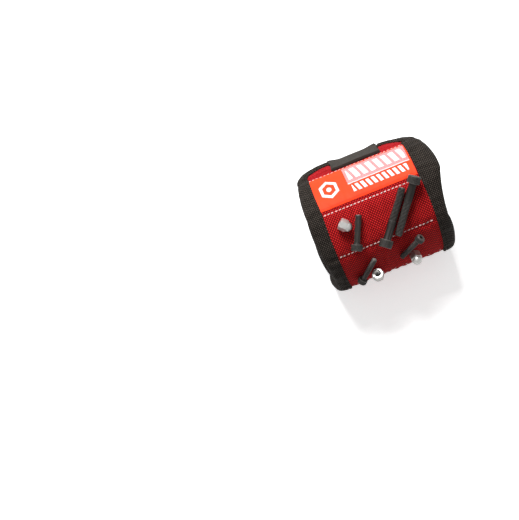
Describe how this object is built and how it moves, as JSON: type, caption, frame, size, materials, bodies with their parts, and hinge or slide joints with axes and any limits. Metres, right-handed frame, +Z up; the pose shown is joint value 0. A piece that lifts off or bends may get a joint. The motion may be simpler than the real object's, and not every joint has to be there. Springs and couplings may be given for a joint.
{
  "type": "magnetic wristband",
  "caption": "Padded magnetic wristband in sewn red rows with black binding and a hook strap, holding loose screws and cap nuts on its outside.",
  "frame": {"origin": "middle of the flat underside of the bottom row, the face the closed band rests on", "axes": "+Z up through the ring, +X along the forearm towards the elbow edge, +Y towards the strap side; the label and the screw row face up"},
  "size_m": [0.101, 0.0979, 0.088],
  "materials": {
    "red_weave": "coarse basket weave",
    "black_binding": "ribbed binding tape",
    "black_lining": "spacer mesh",
    "foam": "open-cell foam padding",
    "magnet_nickel": "nickel plated",
    "white_thread": "lock-stitch thread",
    "orange_label": "glossy printed label",
    "red_loop_pile": "brushed loop pile",
    "hook_tape": "hook fastener tape",
    "grey_strap": "matte woven strap",
    "black_steel": "black oxide",
    "bright_zinc": "bright zinc plate"
  },
  "bodies": {
    "screw_row": {"row_2_cover": "red_weave", "row_2_lining": "black_lining", "row_2_pad": "foam", "row_2_magnet_hand": "magnet_nickel", "row_2_magnet_elbow": "magnet_nickel", "row_2_binding_hand": "black_binding", "row_2_binding_elbow": "black_binding", "stitches_row_1_2": "white_thread", "stitches_row_2_3": "white_thread"},
    "label_row": {"row_1_cover": "red_weave", "row_1_lining": "black_lining", "row_1_pad": "foam", "row_1_magnet_hand": "magnet_nickel", "row_1_magnet_elbow": "magnet_nickel", "row_1_binding_hand": "black_binding", "row_1_binding_elbow": "black_binding", "label": "orange_label", "stitches_label_top": "white_thread"},
    "label_flap": {"flap_loop_panel": "red_loop_pile", "flap_binding": "black_binding"},
    "lower_row": {"row_3_cover": "red_weave", "row_3_lining": "black_lining", "row_3_pad": "foam", "row_3_magnet_hand": "magnet_nickel", "row_3_magnet_elbow": "magnet_nickel", "row_3_binding_hand": "black_binding", "row_3_binding_elbow": "black_binding", "stitches_row_3_4": "white_thread"},
    "back_row": {"row_4_cover": "red_weave", "row_4_lining": "black_lining", "row_4_pad": "foam", "row_4_magnet_hand": "magnet_nickel", "row_4_magnet_elbow": "magnet_nickel", "row_4_binding_hand": "black_binding", "row_4_binding_elbow": "black_binding", "stitches_row_4_5": "white_thread"},
    "bottom_row": {"row_5_cover": "red_weave", "row_5_lining": "black_lining", "row_5_pad": "foam", "row_5_magnet_hand": "magnet_nickel", "row_5_magnet_elbow": "magnet_nickel", "row_5_binding_hand": "black_binding", "row_5_binding_elbow": "black_binding", "stitches_tail": "white_thread"},
    "tail": {"tail_panel": "red_weave", "tail_binding": "black_binding", "strap_root": "grey_strap"},
    "strap_lower": {"strap_lower": "grey_strap"},
    "strap_upper": {"strap_upper": "grey_strap", "strap_upper_hooks": "hook_tape"},
    "strap_tip": {"strap_tip": "grey_strap", "strap_tip_hooks": "hook_tape"},
    "long_screw_left": {"long_screw_left": "black_steel"},
    "long_screw_right": {"long_screw_right": "black_steel"},
    "middle_screw": {"middle_screw": "black_steel"},
    "short_screw_left": {"short_screw_left": "black_steel"},
    "short_screw_right": {"short_screw_right": "black_steel"},
    "cap_nut_upper": {"cap_nut_upper": "bright_zinc"},
    "cap_nut_lower_left": {"cap_nut_lower_left": "bright_zinc"},
    "cap_nut_lower_right": {"cap_nut_lower_right": "bright_zinc"}
  },
  "joints": [
    {"name": "open_band", "type": "hinge", "parent": "screw_row", "child": "lower_row", "pos_m": [0, -0.01777, 0.06435], "axis": [-1, 0, 0], "range_deg": [0, 46]},
    {"name": "open_label_row", "type": "hinge", "parent": "screw_row", "child": "label_row", "pos_m": [0, 0.01555, 0.07328], "axis": [1, 0, 0], "range_deg": [0, 46]},
    {"name": "open_label_flap", "type": "hinge", "parent": "label_row", "child": "label_flap", "pos_m": [0, 0.04512, 0.05551], "axis": [1, 0, 0], "range_deg": [0, 42]},
    {"name": "open_back_row", "type": "hinge", "parent": "lower_row", "child": "back_row", "pos_m": [0, -0.0345, 0.03418], "axis": [-1, 0, 0], "range_deg": [0, 59]},
    {"name": "open_bottom_row", "type": "hinge", "parent": "back_row", "child": "bottom_row", "pos_m": [0, -0.01725, 0.0043], "axis": [-1, 0, 0], "range_deg": [0, 60]},
    {"name": "open_tail", "type": "hinge", "parent": "bottom_row", "child": "tail", "pos_m": [0, 0.01725, 0.0043], "axis": [-1, 0, 0], "range_deg": [0, 20]},
    {"name": "open_strap_lower", "type": "hinge", "parent": "tail", "child": "strap_lower", "pos_m": [0, 0.02853, 0.0084], "axis": [-1, 0, 0], "range_deg": [0, 25]},
    {"name": "open_strap_upper", "type": "hinge", "parent": "strap_lower", "child": "strap_upper", "pos_m": [0, 0.05515, 0.03503], "axis": [-1, 0, 0], "range_deg": [0, 62]},
    {"name": "peel_strap_tip", "type": "hinge", "parent": "strap_upper", "child": "strap_tip", "pos_m": [0, 0.05176, 0.04918], "axis": [-1, 0, 0], "range_deg": [0, 70]},
    {"name": "lift_long_screw_left", "type": "slide", "parent": "screw_row", "child": "long_screw_left", "axis": [0, -0.2588, 0.9659], "range_m": [0, 0.03]},
    {"name": "lift_long_screw_right", "type": "slide", "parent": "screw_row", "child": "long_screw_right", "axis": [0, -0.2588, 0.9659], "range_m": [0, 0.03]},
    {"name": "lift_middle_screw", "type": "slide", "parent": "screw_row", "child": "middle_screw", "axis": [0, -0.2588, 0.9659], "range_m": [0, 0.03]},
    {"name": "lift_short_screw_left", "type": "slide", "parent": "lower_row", "child": "short_screw_left", "axis": [0, -0.8746, 0.4848], "range_m": [0, 0.03]},
    {"name": "lift_short_screw_right", "type": "slide", "parent": "lower_row", "child": "short_screw_right", "axis": [0, -0.8746, 0.4848], "range_m": [0, 0.03]},
    {"name": "lift_cap_nut_upper", "type": "slide", "parent": "screw_row", "child": "cap_nut_upper", "axis": [0, -0.2588, 0.9659], "range_m": [0, 0.03]},
    {"name": "lift_cap_nut_lower_left", "type": "slide", "parent": "lower_row", "child": "cap_nut_lower_left", "axis": [0, -0.8746, 0.4848], "range_m": [0, 0.03]},
    {"name": "lift_cap_nut_lower_right", "type": "slide", "parent": "lower_row", "child": "cap_nut_lower_right", "axis": [0, -0.8746, 0.4848], "range_m": [0, 0.03]}
  ],
  "couplings": [
    {"joint": "open_label_row", "follows": "open_band", "ratio": 1},
    {"joint": "open_label_flap", "follows": "open_band", "ratio": 0.91304},
    {"joint": "open_back_row", "follows": "open_band", "ratio": 1.2826},
    {"joint": "open_bottom_row", "follows": "open_band", "ratio": 1.3043},
    {"joint": "open_tail", "follows": "open_band", "ratio": 0.43478},
    {"joint": "open_strap_lower", "follows": "open_band", "ratio": 0.54348},
    {"joint": "open_strap_upper", "follows": "open_band", "ratio": 1.3478}
  ]
}
